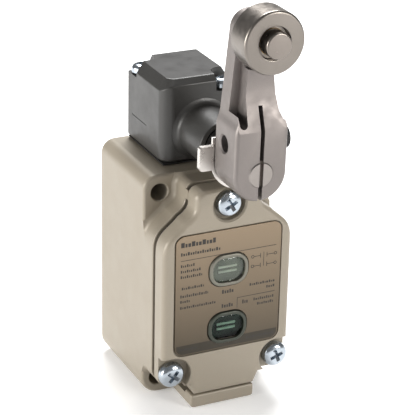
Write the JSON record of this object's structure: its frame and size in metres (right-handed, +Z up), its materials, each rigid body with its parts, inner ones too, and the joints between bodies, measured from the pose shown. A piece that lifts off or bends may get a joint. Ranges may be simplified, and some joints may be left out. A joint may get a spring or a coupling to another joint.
{
  "type": "roller lever limit switch",
  "caption": "Metal-bodied limit switch with a square head, a clamped swinging lever carrying a roller, a screwed front cover with two indicator windows, and a conduit entry below.",
  "frame": {"origin": "centre of the flat rear mounting face, midway between the four mounting holes", "axes": "+Y points out of the rear face into the mounting wall, +Z points up from the conduit entry to the roller, and X runs across the body with the lever shaft at X = 0"},
  "size_m": [0.0412, 0.0702, 0.126],
  "materials": {
    "housing_paint": "fine hammered beige enamel, satin",
    "head_paint": "satin charcoal enamel on a die casting",
    "sintered_steel": "sintered steel, fine grain, satin",
    "satin_steel": "turned steel, satin",
    "spring_steel": "drawn spring wire",
    "zinc_plate": "bright zinc plate",
    "black_oxide": "black oxide, oiled",
    "brass_plain": "plain stamped brass",
    "seal_rubber": "nitrile rubber, matt",
    "label_metal": "printed aluminium foil, tan, satin",
    "lens_clear": "moulded lens, grey-green",
    "lens_dark": "moulded lens, dark green",
    "bezel_steel": "moulded rim, dark",
    "phenolic": "brown phenolic moulding",
    "ivory_plastic": "ivory moulding, satin"
  },
  "bodies": {
    "housing": {"switch_body": "housing_paint", "cover": "housing_paint", "head_housing": "head_paint", "lamp_spring_left": "spring_steel", "lamp_spring_right": "spring_steel", "torsion_spring": "spring_steel", "return_spring": "spring_steel", "cover_screw_top": "zinc_plate", "cover_screw_left": "zinc_plate", "cover_screw_right": "zinc_plate", "head_screw_rear": "zinc_plate", "head_screw_front": "zinc_plate", "switch_screw_left": "zinc_plate", "switch_screw_right": "zinc_plate", "earth_screw": "zinc_plate", "terminal_screw_upper_left": "zinc_plate", "terminal_screw_upper_right": "zinc_plate", "terminal_screw_lower_left": "zinc_plate", "terminal_screw_lower_right": "zinc_plate", "shaft_bush": "brass_plain", "contact_closed": "brass_plain", "contact_open": "brass_plain", "contact_common": "brass_plain", "terminal_upper_left": "brass_plain", "terminal_upper_right": "brass_plain", "terminal_lower_left": "brass_plain", "terminal_lower_right": "brass_plain", "cover_gasket": "seal_rubber", "head_gasket": "seal_rubber", "shaft_seal": "seal_rubber", "nameplate": "label_metal", "window_lens_upper": "lens_clear", "window_lens_lower": "lens_dark", "window_bezel_upper": "bezel_steel", "window_bezel_lower": "bezel_steel", "switch_case": "phenolic", "switch_front": "phenolic", "lamp_holder": "ivory_plastic", "indicator_lamp": "ivory_plastic"},
    "lever": {"rotary_shaft": "satin_steel", "cam": "satin_steel", "lever_arm": "sintered_steel", "position_plate": "zinc_plate", "clamp_bolt": "black_oxide", "roller_pin": "satin_steel"},
    "roller": {"roller": "satin_steel", "roller_bush": "brass_plain"},
    "plunger": {"head_plunger": "satin_steel"},
    "button": {"switch_button": "ivory_plastic"},
    "blade": {"snap_blade": "brass_plain"}
  },
  "joints": [
    {"name": "lever_rotation", "type": "hinge", "parent": "housing", "child": "lever", "pos_m": [0, 0, 0.04457], "axis": [0, 1, 0], "range_deg": [-45, 45], "stiffness_Nm_per_rad": 0.5},
    {"name": "roller_spin", "type": "hinge", "parent": "lever", "child": "roller", "pos_m": [0.00066, -0.0631, 0.08256], "axis": [0, 1, 0], "continuous": true},
    {"name": "plunger_slide", "type": "slide", "parent": "housing", "child": "plunger", "axis": [0, 0, -1], "range_m": [0, 0.002], "stiffness_N_per_m": 600, "deforming": ["return_spring"]},
    {"name": "button_slide", "type": "slide", "parent": "housing", "child": "button", "axis": [0, 0, -1], "range_m": [0, 0.002], "stiffness_N_per_m": 300},
    {"name": "blade_pivot", "type": "hinge", "parent": "housing", "child": "blade", "pos_m": [-0.0095, -0.0146, 0.00215], "axis": [0, 1, 0], "range_deg": [0, 10]}
  ],
  "couplings": [
    {"joint": "button_slide", "follows": "plunger_slide", "ratio": 1},
    {"joint": "blade_pivot", "follows": "plunger_slide", "rad_per_m": 87}
  ]
}
